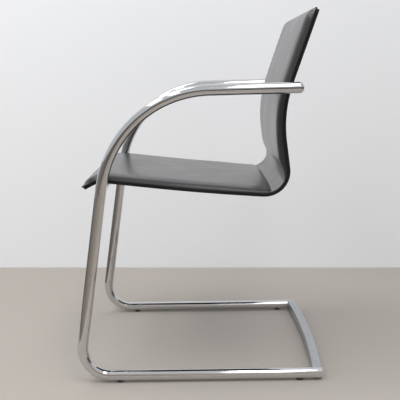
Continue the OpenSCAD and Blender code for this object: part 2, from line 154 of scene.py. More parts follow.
def bump(tree, shader, height, strength, distance):
    """Feeds a height to the shader's normal."""
    node = add(tree, "Bump", {"Height": height}, {"Strength": strength, "Distance": distance})
    tree.links.new(node.outputs["Normal"], shader.inputs["Normal"])


def surface(tree, shader, colour, roughness, metallic=0):
    """Wires a colour and a roughness to the shader and says whether it is a metal."""
    tree.links.new(colour, shader.inputs["Base Color"])
    tree.links.new(roughness, shader.inputs["Roughness"])
    shader.inputs["Metallic"].default_value = metallic


# %% [markdown]
# ## Effects that several finishes share
# Real surfaces are never even. Four effects are used here: pebbled leather grain, the faint
# smears that hands leave on polish, long scratches from use, and fine speckle for plastic and
# rubber. Sizes are given as detail per metre, so 900 gives a grain of about a millimetre.

# %% Leather grain
leather_grain, given, out = start_group("leather_grain", {"Grain": 900, "Patches": 14},
                                        ("Height", "Tone", "Gloss"))
place = given.outputs["Vector"]
cells = add(leather_grain, "TexVoronoi", {"Vector": place, "Scale": given.outputs["Grain"]},
            {"Smoothness": 0.6}, feature="SMOOTH_F1")
creases = add(leather_grain, "TexNoise", {"Vector": place},
              {"Scale": 260, "Detail": 3, "Roughness": 0.6})
patches = add(leather_grain, "TexNoise", {"Vector": place, "Scale": given.outputs["Patches"]},
              {"Detail": 3, "Roughness": 0.55})
pebbles = maths(leather_grain, "MULTIPLY", cells.outputs["Distance"], -0.8)
wrinkles = maths(leather_grain, "MULTIPLY", creases.outputs["Fac"], 0.9)
height = maths(leather_grain, "ADD", pebbles, wrinkles)
leather_grain.links.new(height, out.inputs["Height"])
patchy_tone = between(leather_grain, patches.outputs["Fac"], 0.3, 0.7, 0, 1)
leather_grain.links.new(patchy_tone, out.inputs["Tone"])
from_patches = maths(leather_grain, "MULTIPLY", patches.outputs["Fac"], 0.7)
from_cells = maths(leather_grain, "MULTIPLY", cells.outputs["Distance"], 0.3)
gloss = maths(leather_grain, "ADD", from_patches, from_cells)
leather_grain.links.new(between(leather_grain, gloss, 0.3, 0.7, 0, 1), out.inputs["Gloss"])
print("group:", leather_grain.name)

# %% Smears on polished metal
hand_smears, given, out = start_group("hand_smears", {"Size": 22}, ("Smear", "Haze"))
place = given.outputs["Vector"]
warp = add(hand_smears, "TexNoise", {"Vector": place, "Scale": given.outputs["Size"]},
           {"Detail": 5, "Roughness": 0.62, "Distortion": 0.8})
smear = between(hand_smears, warp.outputs["Fac"], 0.48, 0.72, 0, 1)
hand_smears.links.new(smear, out.inputs["Smear"])
clouds = add(hand_smears, "TexNoise", {"Vector": place}, {"Scale": 6, "Detail": 2})
haze = between(hand_smears, clouds.outputs["Fac"], 0.3, 0.7, 0, 1)
hand_smears.links.new(haze, out.inputs["Haze"])
print("group:", hand_smears.name)

# %% Long scratches
long_scratches, given, out = start_group(
    "long_scratches", {"Along X": 12, "Along Y": 900, "Along Z": 900}, ("Line", "Height"))
stretch = add(long_scratches, "CombineXYZ",
              {axis: given.outputs["Along " + axis] for axis in ("X", "Y", "Z")})
drawn = add(long_scratches, "VectorMath", {0: given.outputs["Vector"], 1: stretch.outputs[0]},
            operation="MULTIPLY")
lines = add(long_scratches, "TexNoise", {"Vector": drawn.outputs[0]},
            {"Scale": 1, "Detail": 4, "Roughness": 0.7})
line = between(long_scratches, lines.outputs["Fac"], 0.56, 0.72, 0, 1)
long_scratches.links.new(line, out.inputs["Line"])
long_scratches.links.new(lines.outputs["Fac"], out.inputs["Height"])
print("group:", long_scratches.name)

# %% Fine speckle
fine_speckle, given, out = start_group("fine_speckle", {"Size": 2500}, ("Height", "Spot"))
place = given.outputs["Vector"]
dots = add(fine_speckle, "TexNoise", {"Vector": place, "Scale": given.outputs["Size"]},
           {"Detail": 2, "Roughness": 0.5})
dull = add(fine_speckle, "TexNoise", {"Vector": place}, {"Scale": 45, "Detail": 4})
spot = between(fine_speckle, dull.outputs["Fac"], 0.35, 0.68, 0, 1)
fine_speckle.links.new(dots.outputs["Fac"], out.inputs["Height"])
fine_speckle.links.new(spot, out.inputs["Spot"])
print("group:", fine_speckle.name)

# %% [markdown]
# ## Metal finishes
# The tubes are chrome plated: nearly all their look is what they mirror, so the metal itself
# stays plain and only its sharpness changes where hands and feet touch it. Low on the runners
# it is scuffed. The floor bar is satin steel with a brushed grain along its length, and the
# flat fittings are chrome on a coarser ground.

# %% Chrome of the tubes
chrome, tree, shader, place = finish("tube_chrome")
smears = use(tree, hand_smears, place, Size=26)
scratches = use(tree, long_scratches, place, **{"Along X": 500, "Along Y": 60, "Along Z": 500})
low = add(tree, "SeparateXYZ", {"Vector": place}).outputs["Z"]
near_floor = between(tree, low, 0.003, 0.022, 1, 0)
scuff = maths(tree, "MULTIPLY", near_floor, scratches["Line"], clamp=True)
smeared = maths(tree, "MULTIPLY", smears["Smear"], 0.35)
dull_mask = maths(tree, "ADD", smeared, scuff, clamp=True)
surface(tree, shader, tone(tree, dull_mask, (0.66, 0.665, 0.675), (0.57, 0.565, 0.56)),
        between(tree, dull_mask, 0, 1, 0.07, 0.26), metallic=1)
bump(tree, shader, smears["Haze"], 0.05, 0.0006)

# %% Chrome of the flat fittings
plate_chrome, tree, shader, place = finish("fitting_chrome")
smears = use(tree, hand_smears, place, Size=60)
ground = use(tree, long_scratches, place, **{"Along X": 30, "Along Y": 1200, "Along Z": 700})
surface(tree, shader, tone(tree, smears["Smear"], (0.63, 0.635, 0.645), (0.5, 0.5, 0.5)),
        between(tree, ground["Height"], 0.3, 0.7, 0.08, 0.2), metallic=1)
bump(tree, shader, ground["Height"], 0.08, 0.0004)

# %% Satin steel of the floor bar
satin, tree, shader, place = finish("bar_satin")
brushed = use(tree, long_scratches, place, **{"Along X": 14, "Along Y": 1500, "Along Z": 1500})
smears = use(tree, hand_smears, place, Size=30)
surface(tree, shader, tone(tree, smears["Smear"], (0.53, 0.55, 0.58), (0.44, 0.45, 0.47)),
        between(tree, brushed["Height"], 0.3, 0.7, 0.24, 0.42), metallic=1)
bump(tree, shader, brushed["Height"], 0.12, 0.0003)

# %% Steel of bolts, washers and inserts
bolt_steel, tree, shader, place = finish("fastener_steel")
spots = use(tree, fine_speckle, place, Size=1800)
surface(tree, shader, tone(tree, spots["Spot"], (0.55, 0.55, 0.56), (0.4, 0.39, 0.37)),
        between(tree, spots["Spot"], 0, 1, 0.22, 0.4), metallic=1)
bump(tree, shader, spots["Height"], 0.1, 0.0002)
print("metal finishes:", chrome.name, plate_chrome.name, satin.name, bolt_steel.name)

# %% [markdown]
# ## Leather
# The leather is black, smooth and fairly tight, with a soft sheen. Seen flat along its surface
# it mirrors the pale wall, which is why the seat looks grey in the picture: that comes from the
# shader by itself, so the colour stays black. A thin coat stands for the polish that is rubbed
# in. Each vertex of a leather piece carries how worn its place is, and there the leather is a
# little paler and glossier. The paler colour is partly rubbed wear and partly a painted sheen
# along the rolled edges.

# %% Black leather, front and rear
def black_leather(name, base, worn_and_sheen, grain, dull, bright, ior, coat, pebbled):
    """Its roughness lies between dull and bright; pebbled is how far the grain stands out."""
    material, tree, shader, place = finish(name)
    hide = use(tree, leather_grain, place, Grain=grain, Patches=11)
    wear_and_sheen = add(tree, "Attribute", attribute_name="wear_and_sheen").outputs["Fac"]
    # paler colour where the wear attribute is high: rubbed wear, and on the side rolls also painted
    # sheen
    rubbed_and_sheen = maths(tree, "MULTIPLY", wear_and_sheen, between(tree, hide["Tone"], 0, 1, 0.35, 1), clamp=True)
    fresh = tone(tree, hide["Tone"], base, [1.35 * c for c in base])
    colour = add(tree, "Mix", data_type="RGBA")
    tree.links.new(rubbed_and_sheen, colour.inputs["Factor"])
    tree.links.new(fresh, colour.inputs["A"])
    colour.inputs["B"].default_value = (*worn_and_sheen, 1)
    unworn = between(tree, hide["Gloss"], 0, 1, dull, bright)
    polished = maths(tree, "SUBTRACT", unworn, maths(tree, "MULTIPLY", rubbed_and_sheen, 0.06))
    surface(tree, shader, colour.outputs["Result"], polished)
    shader.inputs["IOR"].default_value = ior
    shader.inputs["Coat Weight"].default_value = coat
    shader.inputs["Coat Roughness"].default_value = 0.16
    bump(tree, shader, hide["Height"], pebbled, 0.0003)
    return material


front_leather = black_leather("front_leather", base=(0.009, 0.009, 0.0105),
                              worn_and_sheen=(0.056, 0.054, 0.055), grain=850, dull=0.46, bright=0.36,
                              ior=1.5, coat=0.5, pebbled=0.2)
rear_leather = black_leather("rear_leather", base=(0.0055, 0.0055, 0.0065),
                             worn_and_sheen=(0.018, 0.0175, 0.017), grain=600, dull=0.46, bright=0.3,
                             ior=1.42, coat=0.05, pebbled=0.3)
print("leather finishes:", front_leather.name, rear_leather.name)

# %% [markdown]
# ## Thread, foam, wood, rubber and plastic
# The thread is black polyester with a faint twist. Foam and wood lie inside the shell and only
# show when the chair is taken apart, but they are finished too. Rubber and plastic are matte
# and speckled.

# %% Thread
thread, tree, shader, place = finish("seam_thread")
twist = add(tree, "TexWave", {"Vector": place}, {"Scale": 900, "Distortion": 1.5},
            bands_direction="DIAGONAL").outputs["Fac"]
surface(tree, shader, tone(tree, twist, (0.014, 0.014, 0.015), (0.05, 0.05, 0.052)),
        between(tree, twist, 0, 1, 0.6, 0.42))

# %% Foam
foam_cells, tree, shader, place = finish("pad_foam")
bubbles = add(tree, "TexVoronoi", {"Vector": place}, {"Scale": 1100}).outputs["Distance"]
yellowing = use(tree, fine_speckle, place, Size=1500)
surface(tree, shader, tone(tree, yellowing["Spot"], (0.66, 0.62, 0.48), (0.56, 0.49, 0.33)),
        between(tree, bubbles, 0, 1, 0.8, 0.95))
bump(tree, shader, bubbles, 0.5, 0.0006)

# %% Plywood
plywood, tree, shader, place = finish("core_wood")
grain = use(tree, long_scratches, place, **{"Along X": 300, "Along Y": 9, "Along Z": 9})
streaks = add(tree, "TexNoise", {"Vector": place}, {"Scale": 18, "Detail": 6, "Distortion": 1.5})
both = maths(tree, "ADD", grain["Height"], streaks.outputs["Fac"])
darker = between(tree, maths(tree, "MULTIPLY", both, 0.5), 0.35, 0.65, 0, 1)
surface(tree, shader, tone(tree, darker, (0.52, 0.34, 0.18), (0.32, 0.18, 0.085)),
        between(tree, grain["Height"], 0.3, 0.7, 0.5, 0.7))
bump(tree, shader, grain["Height"], 0.2, 0.0004)

# %% Rubber and plastic
def matte_black(name, base, dusty, size, smooth, rough):
    """Black with dusty spots; its roughness lies between smooth and rough."""
    material, tree, shader, place = finish(name)
    spots = use(tree, fine_speckle, place, Size=size)
    surface(tree, shader, tone(tree, spots["Spot"], base, dusty),
            between(tree, spots["Spot"], 0, 1, smooth, rough))
    bump(tree, shader, spots["Height"], 0.25, 0.0002)
    return material


rubber = matte_black("mount_rubber", base=(0.018, 0.018, 0.018), dusty=(0.045, 0.043, 0.04),
                     size=1600, smooth=0.7, rough=0.85)
glide_plastic = matte_black("glide_plastic", base=(0.022, 0.022, 0.023), dusty=(0.07, 0.066, 0.06),
                            size=2600, smooth=0.45, rough=0.65)
others = (thread, foam_cells, plywood, rubber, glide_plastic)
print("other finishes:", *[material.name for material in others])

# %% [markdown]
# ## Finishes on the measured parts
# Each measured part already names the finish it should have. Here the loaded placeholder is
# swapped for the full material of the same name.

# %% Dress the measured parts
def plain_name(material):
    """A material's name without the number that a second one of that name gets."""
    return material.name.split(".")[0]


all_made = (chrome, plate_chrome, satin, bolt_steel, front_leather, rear_leather, *others)
finishes = {plain_name(material): material for material in all_made}
for part in nodes.values():
    for dressed in part.material_slots:
        dressed.material = finishes[plain_name(dressed.material)]
print("dressed:", len(nodes))

# %% [markdown]
# ## The shell's line
# Seat and back are one moulded L. Its rear face follows one line in the side view: a short
# drooping lip, a flat, a slightly hollow seat, a tight bend, the lower back, the lumbar curve
# and the upper back. Everything soft follows this line too. So each leather piece is modelled
# flat, the way it is cut on the table, with X across, Y along the line and Z as the height
# over it, and is then wrapped onto the line. Flat work keeps every step simple.

# %% The line, and how a flat piece is wrapped onto it
MM = 0.001
lip_droop = math.radians(27)


def curved(radius, turn):
    """A stretch of a round bend, as its length and its turn in degrees."""
    return math.radians(abs(turn)) * radius, turn


shell_line = [(24.5 * MM, 0), curved(32 * MM, -33.7), (110 * MM, 0), (257.5 * MM, 2.9),
              curved(57.5 * MM, 101.1), (61 * MM, 0), curved(285 * MM, -26.8), (166 * MM, 0)]
bend_start, bend_end, shell_length = (
    sum(length for length, turn in shell_line[:count]) for count in (4, 5, len(shell_line)))


def on_line(along, start):
    """Place and heading at a distance along the line; before and after it, it runs on straight."""
    y, z, heading = *start, lip_droop
    for number, (length, turn) in enumerate(shell_line):
        last = number == len(shell_line) - 1
        step = along if last or along < length else length
        if turn:
            radius = length / math.radians(turn)
            turned_by = math.radians(turn) * step / length
            y += radius * (math.sin(heading + turned_by) - math.sin(heading))
            z -= radius * (math.cos(heading + turned_by) - math.cos(heading))
            heading += turned_by
        else:
            y, z = y + step * math.cos(heading), z + step * math.sin(heading)
        along -= step
        if along <= 0:
            break
    return y, z, heading


def wrapped(flat, start):
    """A point of the flat piece, set on the line."""
    y, z, heading = on_line(flat[1], start)
    return Vector((flat[0], y - flat[2] * math.sin(heading), z + flat[2] * math.cos(heading)))


leather, wood = 1.5 * MM, 7 * MM
face = leather + wood
steps = 400
trial = [wrapped((0, shell_length * i / steps, height), (0, 0))
         for i in range(steps + 1) for height in (leather, face)]
core_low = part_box("shell_core")[0]
line_start = (core_low.y - min(p.y for p in trial), core_low.z - min(p.z for p in trial))
print("line", round(1000 * shell_length, 1), "mm, from", [round(1000 * c, 2) for c in line_start])

# %% [markdown]
# ## How high the padding stands
# Seat and back each have a foam pad with rolled edges and round corners. The seat pad ends at a
# slant just inside the bend, in a slight bow, and thins towards that end, most of all at its
# corners. The back pad rises slowly out of the bend and gets thicker towards the top. Between
# them the leather lies on the wood, except near the top of the bend, where it is pulled straight.

# %% Padding height
half_shell, half_pad, side_roll = 243 * MM, 241.4 * MM, 18 * MM
flange, flange_half = 3 * MM, 246 * MM
seat_pad_end = bend_start + 26.5 * MM
back_pad_start = bend_end - 7.6 * MM
front_roll, seat_end_roll, back_foot_roll, top_roll = 32 * MM, 13.5 * MM, 38 * MM, 26 * MM
seat_thick, end_thinner, corner_thinner, thinning_length = 10 * MM, 1.2 * MM, 2.8 * MM, 120 * MM
back_thick, top_thicker = 12.5 * MM, 1.6 * MM
thicker_from, thicker_length = bend_end + 114 * MM, 190 * MM
crown = 0.5 * MM
bow, bow_length = 5 * MM, 50 * MM
bridge_start, bridge_length = bend_end - 46 * MM, 86 * MM
bridge_height, bridge_roll = 4 * MM, 7 * MM


def share_of(value):
    """A share, kept from 0 to 1."""
    return min(max(value, 0), 1)


def quarter(share):
    """Height of a quarter round at a share of its width."""
    return math.sqrt(1 - (1 - share_of(share)) ** 2)


def ramp(share):
    """Height of a soft ramp: it starts at an angle and ends level."""
    return math.sin(math.pi / 2 * share_of(share))


def chamfer(share):
    """Height of a pad's end that is cut at a slant and a little rounded."""
    return (1 - (1 - share_of(share)) ** 1.25) ** 0.8


def rounded_corner(sidewise, lengthwise):
    """Height where two edges roll off; their corner is round, seen from above too."""
    from_side, from_end = 1 - share_of(sidewise), 1 - share_of(lengthwise)
    return math.sqrt(max(0, 1 - from_side ** 2 - from_end ** 2))


def bowed(x, along):
    """The seat pad ends in a bow: at its sides it stops a little sooner."""
    nearness = max(0, 1 - abs(along - seat_pad_end) / bow_length)
    return along - bow * nearness * abs(x / half_pad) ** 3


def bridge(x, along):
    """How far the leather stands off where it is pulled straight across the bend."""
    share = share_of((along - bridge_start) / bridge_length)
    at_side = quarter((half_pad - abs(x)) / bridge_roll)
    return bridge_height * math.sin(math.pi * share) ** 2 * at_side


def padding(x, along):
    """Height of the foam over the wood."""
    sidewise = (half_pad - abs(x)) / side_roll
    if along <= seat_pad_end:
        shape = rounded_corner(sidewise, along / front_roll)
        ends_here = chamfer((seat_pad_end - along) / seat_end_roll)
        near_end = max(0, 1 - (seat_pad_end - along) / thinning_length)
        thick = seat_thick - near_end * (end_thinner + corner_thinner * (x / half_pad) ** 2)
    else:
        shape = rounded_corner(sidewise, (shell_length - along) / top_roll)
        ends_here = ramp((along - back_pad_start) / back_foot_roll)
        thick = back_thick + top_thicker * share_of((along - thicker_from) / thicker_length)
    swell = max(0, 1 - (x / (half_pad - side_roll)) ** 2)
    return ends_here * shape * (thick + crown * swell)


mid_seat, mid_back = 0.2, 0.65
print("padding in mm:", [round(1000 * padding(0, along), 1) for along in (mid_seat, mid_back)])

# %% [markdown]
# ## Cutting the flat pieces
# A grid is the natural start for a sheet of leather. The grid's even lines are then moved to
# where the shape needs them: close together round the rolled edges, wider on the flat faces.

# %% Lines of the grid
def even(start, end, step):
    """Even lines from start up to, but not at, the end."""
    count = max(1, round((end - start) / step))
    return [start + (end - start) * i / count for i in range(count)]


def rolled(start, end, count, closing=False):
    """Lines that crowd towards the foot of a quarter round."""
    angles = [math.pi / 2 * i / count for i in range(count)]
    shares = [math.sin(a) if closing else 1 - math.cos(a) for a in angles]
    return [start + (end - start) * share for share in shares]


def mirrored(half):
    """Lines on both sides of the middle, from those on one side, outermost first."""
    return [-x for x in half] + [0.0] + half[::-1]


def grid_on(lines_x, lines_y, height):
    """A grid whose lines lie at the given distances, and whose height is a function of place."""
    bm = bmesh.new()
    bmesh.ops.create_grid(bm, x_segments=len(lines_x) - 1, y_segments=len(lines_y) - 1, size=0.5)
    for v in bm.verts:
        x = lines_x[round((v.co.x + 0.5) * (len(lines_x) - 1))]
        y = lines_y[round((v.co.y + 0.5) * (len(lines_y) - 1))]
        v.co = (x, y, height(x, y))
    return bm


pad_lines = (rolled(half_pad, half_pad - side_roll, 7)
             + even(half_pad - side_roll, 0, -9 * MM))
seat_lines = (rolled(0, front_roll, 6) + even(front_roll, seat_pad_end - seat_end_roll, 9 * MM)
              + rolled(seat_pad_end - seat_end_roll, seat_pad_end, 6, closing=True)
              + [seat_pad_end])
bend_lines = even(seat_pad_end, back_pad_start, 5.5 * MM)[1:]
back_lines = (even(back_pad_start, back_pad_start + back_foot_roll, 6.5 * MM)
              + even(back_pad_start + back_foot_roll, shell_length - top_roll, 9 * MM)
              + rolled(shell_length - top_roll, shell_length, 6, closing=True) + [shell_length])
edge, crease, side_crease = leather + flange, 1.4 * MM, 2.2 * MM
cover_x = mirrored([flange_half, half_pad + side_crease] + pad_lines)
cover_y = ([-edge, -crease] + seat_lines + bend_lines + back_lines
           + [shell_length + crease, shell_length + edge])
print("cover grid:", len(cover_x), "x", len(cover_y))

# %% [markdown]
# ## Helpers that finish a piece
# A piece's object stays at the origin and its place is in its mesh. Smooth shading suits
# leather, and the wear and painted sheen of each vertex is kept on the mesh for the material to
# read.

# %% From flat to finished
def wrap(bm):
    """Wraps a whole flat piece onto the shell's line."""
    for v in bm.verts:
        v.co = wrapped(v.co, line_start)


def as_piece(bm, name, material, slot, *stands_for):
    """Makes the piece's object, lets it ride with the chair and gives it its finish."""
    mesh = bpy.data.meshes.new(name)
    for f in bm.faces:
        f.smooth = True
    bm.to_mesh(mesh)
    bm.free()
    mesh.materials.append(material)
    piece = bpy.data.objects.new(name, mesh)
    scene.collection.objects.link(piece)
    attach(piece, "root")
    if stands_for:
        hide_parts(*stands_for)
    return piece


def softened(piece, thick):
    """Gives a sheet its thickness, towards its inside, and rounds it."""
    wall = piece.modifiers.new("thickness", "SOLIDIFY")
    wall.thickness, wall.offset = thick, -1
    smooth = piece.modifiers.new("smooth", "SUBSURF")
    smooth.levels = smooth.render_levels = 1
    smooth.boundary_smooth = "PRESERVE_CORNERS"


# %% [markdown]
# ## Swelling of the padded leather
# Foam pushes the leather up everywhere except where it is sewn or glued. This is what cloth
# simulation is good at: a closed copy of the padded sheet is held along its edge and in the
# bend, blown up with a little pressure, and the movement is read back, point by point. It is
# capped softly at less than two millimetres, because a firm seat doesn't balloon.

# %% Blow up the padding
def held(x, along):
    """How firmly a point is held: 1 at seams and in the bend, 0 out on the pads."""
    if seat_pad_end <= along <= back_pad_start:
        return 1.0
    nearest = min(half_pad - abs(x), along, shell_length - along,
                  abs(along - seat_pad_end), abs(along - back_pad_start))
    firm, fading = 4 * MM, 22 * MM
    return min(1.0, max(0.0, 1 - (nearest - firm) / fading))


def swelling(flat, cap, pressure=4.0, frames=20):
    """How far each vertex of a flat padded sheet moves under the pressure of the foam."""
    body = flat.copy()
    count = len(body.verts)
    grown = bmesh.ops.extrude_face_region(body, geom=body.faces[:], use_keep_orig=True)["geom"]
    bottom = face - 3 * MM
    for v in [g for g in grown if isinstance(g, bmesh.types.BMVert)]:
        v.co.z = bottom
    body.verts.index_update()
    grip = [held(v.co.x, v.co.y) if v.index < count else 1.0 for v in body.verts]
    wrap(body)
    bmesh.ops.recalc_face_normals(body, faces=body.faces[:])
    mesh = bpy.data.meshes.new("blown_up")
    body.to_mesh(mesh)
    body.free()
    blown = bpy.data.objects.new("blown_up", mesh)
    scene.collection.objects.link(blown)
    group = blown.vertex_groups.new(name="held")
    for number, weight in enumerate(grip):
        if weight > 0:
            group.add([number], weight, "REPLACE")
    cloth = blown.modifiers.new("cloth", "CLOTH")
    settings = cloth.settings
    settings.quality = 5
    settings.mass = 0.3
    settings.tension_stiffness = settings.compression_stiffness = 15
    settings.shear_stiffness, settings.bending_stiffness = 5, 0.5
    settings.vertex_group_mass = "held"
    settings.use_pressure = True
    settings.uniform_pressure_force = pressure
    settings.effector_weights.gravity = 0
    cloth.collision_settings.use_collision = False
    cloth.point_cache.frame_start, cloth.point_cache.frame_end = 1, frames
    for frame_number in range(1, frames + 1):
        scene.frame_set(frame_number)
    done = blown.evaluated_get(bpy.context.evaluated_depsgraph_get())
    moves = [Vector(done.data.vertices[i].co) - mesh.vertices[i].co for i in range(count)]
    scene.frame_set(1)
    bpy.data.objects.remove(blown)
    bpy.data.meshes.remove(mesh)
    furthest = max(m.length for m in moves)
    print("moved up to", round(1000 * furthest, 1), "mm, capped at", round(1000 * cap, 1))
    still = 1e-9
    return [m * (math.tanh(m.length / cap) * cap / m.length) if m.length > still else m
            for m in moves]


# %% [markdown]
# ## The front cover
# One sheet of leather runs from the front lip over both pads to the top, and ends in a narrow
# flange that is sewn to the rear cover. It is the most visible piece, so it gets the
# simulation. It is rubbed along the side rolls, more so where people lean on them, and along the
# front lip and the top, and its wear says so. Along the side rolls, most of all on the back, this
# wear is also a painted sheen.

# %% Front cover
cover_face = face + leather


def cover_height(x, along):
    """Height of the leather's outer face, over the foam and where it spans the bend."""
    return cover_face + math.hypot(padding(x, along), bridge(x, along))


def close_to(place, at, spread):
    """1 at a place, falling off softly on both sides of it."""
    return math.exp(-((at - place) / spread) ** 2)


front = grid_on(cover_x, cover_y, cover_height)
worn_and_sheen = front.verts.layers.float.new("wear_and_sheen")
for v in front.verts:
    # wear on rolls, lip and top; on the side rolls, strongest on the back, it is also painted sheen
    on_roll = close_to(232 * MM, abs(v.co.x), 8 * MM)
    on_lip = close_to(4 * MM, v.co.y, 7 * MM)
    on_top = close_to(shell_length - 4 * MM, v.co.y, 6 * MM)
    on_back_weight = 1 if v.co.y > bend_end else 0.25
    v[worn_and_sheen] = min(1, on_back_weight * on_roll + 0.5 * on_lip + 0.6 * on_top)
    v.co.y = bowed(v.co.x, v.co.y)
moves = swelling(front, cap=1.7 * MM)
wrap(front)
front.verts.ensure_lookup_table()
for v, move in zip(front.verts, moves):
    v.co += move
front_cover = as_piece(front, "front_cover_leather", front_leather, "front_leather", "front_cover")
softened(front_cover, leather)
print(front_cover.name, len(front_cover.data.vertices), "vertices")

# %% [markdown]
# ## The foam under it
# Each pad is a closed, crowned form on the face of the wood. A grid is extruded, the new layer
# is raised to a little less than the padding's height, and both are merged along the rim.

# %% Foam pads
def foam_pad(name, lines_y, stands_for):
    """A pad over the given lines; it stays a little inside the leather."""
    spare, narrower = 1.2 * MM, 1.008
    bm = grid_on(mirrored(pad_lines), lines_y, lambda x, y: face)
    raised = bmesh.ops.extrude_face_region(bm, geom=bm.faces[:], use_keep_orig=True)["geom"]
    for v in [g for g in raised if isinstance(g, bmesh.types.BMVert)]:
        v.co.z = face + max(0, padding(v.co.x * narrower, v.co.y) - spare)
    for v in bm.verts:
        v.co.y = bowed(v.co.x, v.co.y)
    bmesh.ops.remove_doubles(bm, verts=bm.verts, dist=0.01 * MM)
    bmesh.ops.dissolve_degenerate(bm, edges=bm.edges, dist=0.005 * MM)
    wrap(bm)
    bmesh.ops.recalc_face_normals(bm, faces=bm.faces)
    pad = as_piece(bm, name, foam_cells, "pad_foam", stands_for)
    return pad


seat_foam_pad = foam_pad("seat_foam_pad", seat_lines, "seat_foam")
back_foam_pad = foam_pad("back_foam_pad", back_lines, "back_foam")
print("foam pads:", seat_foam_pad.name, back_foam_pad.name)

# %% [markdown]
# ## The rear cover
# A second sheet covers the wood from behind, turns round its edges and ends in the same
# flange. It is a tray: a grid for the back, then its open edge is extruded ring by ring, first
# round the corner, then up the side wall, then outwards for the flange.

# %% Rear cover
corner, inside_corner = 2.4 * MM, 8 * MM
near_corner = [0, 1 * MM, 3.5 * MM]
across = near_corner + even(inside_corner, half_shell - corner, 12 * MM)
tray_x = mirrored([half_shell - corner - x for x in across])
first_y, last_y = -leather + corner, shell_length + leather - corner
tray_y = ([first_y + y for y in near_corner]
          + even(first_y + inside_corner, last_y - inside_corner, 7 * MM)
          + [last_y - inside_corner] + [last_y - y for y in reversed(near_corner)])
rear = grid_on(tray_x, tray_y, lambda x, y: 0.0)
bmesh.ops.reverse_faces(rear, faces=rear.faces)
turns = [math.radians(degrees) for degrees in (30, 60, 90)]
rings = [(corner * (math.sin(a) - 1), corner * (1 - math.cos(a))) for a in turns]
under_flange, fold = face - leather, 0.2 * MM
rings += [(0, 5.2 * MM), (0, under_flange - fold), (fold, under_flange),
          (flange * 0.6, under_flange), (flange, under_flange)]
low_y, high_y, side_x = tray_y[0], tray_y[-1], tray_x[-1]
rim = [e for e in rear.edges if e.is_boundary]
out_now = -corner
worn_and_sheen = rear.verts.layers.float.new("wear_and_sheen")
same = 0.01 * MM
for out, height in rings:
    grown = bmesh.ops.extrude_edge_only(rear, edges=rim)["geom"]
    rim = [g for g in grown if isinstance(g, bmesh.types.BMEdge) and g.is_boundary]
    reach = corner + out_now
    at_corner, at_rim = height < 4 * MM, out > 2 * MM
    for v in {v for e in rim for v in e.verts}:
        aside = (abs(abs(v.co.x) - side_x - reach) < same) * math.copysign(1, v.co.x)
        ahead = (abs(v.co.y - high_y - reach) < same) - (abs(low_y - reach - v.co.y) < same)
        v.co += Vector((aside * (out - out_now), ahead * (out - out_now), 0))
        v.co.z = height
        v[worn_and_sheen] = 0.7 if at_corner or at_rim else 0.2
    out_now = out
wrap(rear)
rear_cover = as_piece(rear, "rear_cover_leather", rear_leather, "rear_leather", "rear_cover")
softened(rear_cover, leather)
print(rear_cover.name, len(rear_cover.data.vertices), "vertices")

# %% [markdown]
# ## The seam
# The two covers are sewn together through the flange, with one row of stitches that shows on
# both sides. A stitch is a few faces only, because there are so many of them. They slant a
# little, as stitches do.

# %% Stitches along the flange
seam_out = 1.5 * MM
stitch_pitch, stitch_length, stitch_slant = 4.6 * MM, 3.5 * MM, math.radians(7)
stitch_size = (stitch_length / 2, 0.45 * MM, 0.38 * MM)
one = bmesh.new()
bmesh.ops.create_uvsphere(one, u_segments=6, v_segments=4, radius=1,
                          matrix=Matrix.Rotation(math.pi / 2, 4, "Y"))
bmesh.ops.scale(one, vec=stitch_size, verts=one.verts)
stitch = bpy.data.meshes.new("one_stitch")
one.to_mesh(stitch)
one.free()


def stitch_row(bm, start, end, height):
    """One straight row of stitches on the flat piece."""
    start, end = Vector(start), Vector(end)
    run = end - start
    count = int(run.length / stitch_pitch)
    slant = Matrix.Rotation(math.atan2(run.y, run.x) + stitch_slant, 4, "Z")
    for number in range(count):
        at = start + run * (number + 0.5) / count
        laid = stitch.copy()
        laid.transform(Matrix.Translation((at.x, at.y, height)) @ slant)
        bm.from_mesh(laid)
        bpy.data.meshes.remove(laid)
    return count


seam = bmesh.new()
side, low, high = half_shell + seam_out, -leather - seam_out, shell_length + leather + seam_out
stitches = 0
clear_of_leather = 0.05 * MM
for height in (cover_face + clear_of_leather, face - leather - clear_of_leather):
    for x in (-side, side):
        stitches += stitch_row(seam, (x, low, 0), (x, high, 0), height)
    for y in (low, high):
        stitches += stitch_row(seam, (-side, y, 0), (side, y, 0), height)
wrap(seam)
seam_stitches = as_piece(seam, "seam_stitches", thread, "front_leather")
print(seam_stitches.name, "has", stitches, "stitches")

# %% [markdown]
# ## Weld beads of the cross tube
# The cross tube under the seat is welded between the legs, and the bead was plated with the
# rest. A bead is a thin ring that lies on both tubes. A small circle is spun into a ring round
# the cross tube, and each vertex is then pushed sideways until it lies on the round of the leg.
# A slow ripple shows the steps of the welding.

